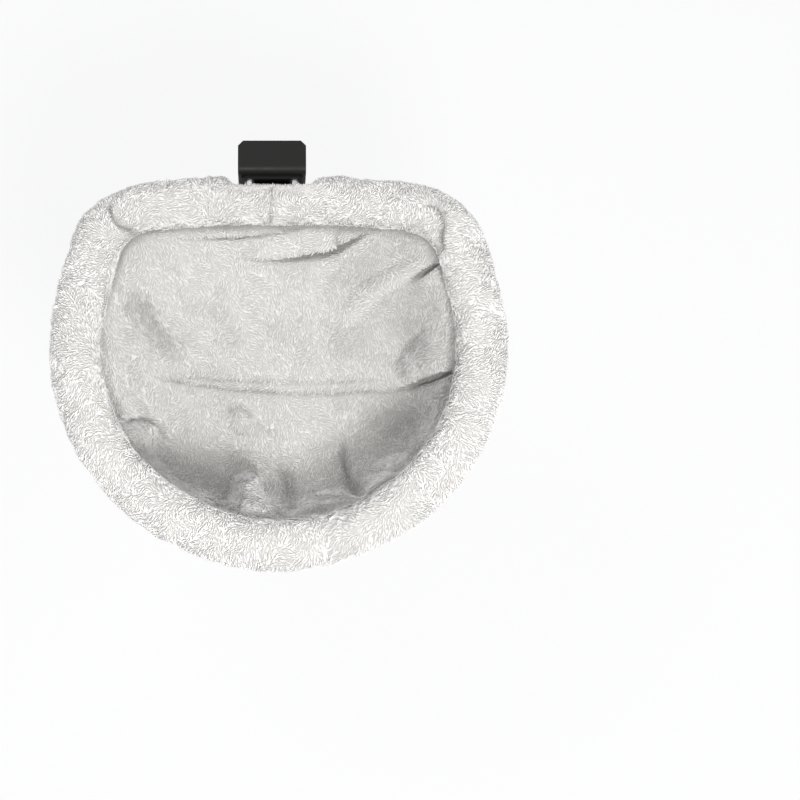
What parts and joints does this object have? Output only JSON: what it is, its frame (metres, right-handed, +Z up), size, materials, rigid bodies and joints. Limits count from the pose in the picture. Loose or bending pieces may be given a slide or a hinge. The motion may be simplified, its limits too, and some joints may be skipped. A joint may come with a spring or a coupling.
{
  "type": "clip-on desk cat hammock",
  "caption": "Padded plush cat hammock: a D-shaped steel hoop in a fluffy rim with a soft hanging bag, held on a desk edge by a screw clamp.",
  "frame": {"origin": "middle of the upper jaw pad's lower face, where it rests on the desk top", "axes": "+X to the right along the desk edge, +Y in over the desk, +Z up"},
  "size_m": [0.44, 0.417, 0.1535],
  "materials": {
    "clamp_steel": "satin black powder coat on folded steel",
    "zinc_steel": "bright zinc plate",
    "hoop_steel": "black enamel on bent tube",
    "pad_rubber": "moulded matt rubber",
    "knob_plastic": "fine grained moulded plastic",
    "rim_foam": "open cell foam sleeve",
    "rim_plush": "off-white short plush, brushed into whorls",
    "lining_plush": "off-white fleece with a shorter pile",
    "wadding": "polyester wadding",
    "shell_cloth": "plain woven off-white cloth"
  },
  "bodies": {
    "clamp": {"clamp_bracket": "clamp_steel", "upper_jaw_pad": "pad_rubber", "edge_pad": "pad_rubber", "weld_nut": "clamp_steel", "carrier_plate": "clamp_steel", "receiver_tube": "clamp_steel", "carrier_bolts": "zinc_steel", "carrier_washers": "zinc_steel", "carrier_nuts": "zinc_steel", "receiver_nuts": "zinc_steel", "set_screws": "zinc_steel", "hoop_tube": "hoop_steel", "rim_foam": "rim_foam", "cover_back_right": "rim_plush", "cover_back_left": "rim_plush", "cover_front_right": "rim_plush", "cover_front_left": "rim_plush", "bag_wadding": "wadding", "lining_back_panel": "lining_plush", "lining_front_panel": "lining_plush", "shell_back_panel": "shell_cloth", "shell_front_right": "shell_cloth", "shell_front_left": "shell_cloth"},
    "foot": {"foot_disc": "zinc_steel", "foot_pad": "pad_rubber"},
    "spindle": {"clamp_spindle": "zinc_steel", "foot_clip": "zinc_steel", "clamp_knob": "knob_plastic", "knob_cap": "knob_plastic"}
  },
  "joints": [
    {"name": "foot_slide", "type": "slide", "parent": "clamp", "child": "foot", "axis": [0, 0, 1], "range_m": [-0.025, 0.02]},
    {"name": "spindle_turn", "type": "hinge", "parent": "foot", "child": "spindle", "pos_m": [0, 0, -0.04], "axis": [0, 0, 1], "range_deg": [-6000, 4800]}
  ],
  "couplings": [
    {"joint": "spindle_turn", "follows": "foot_slide", "rad_per_m": 4188.8}
  ]
}
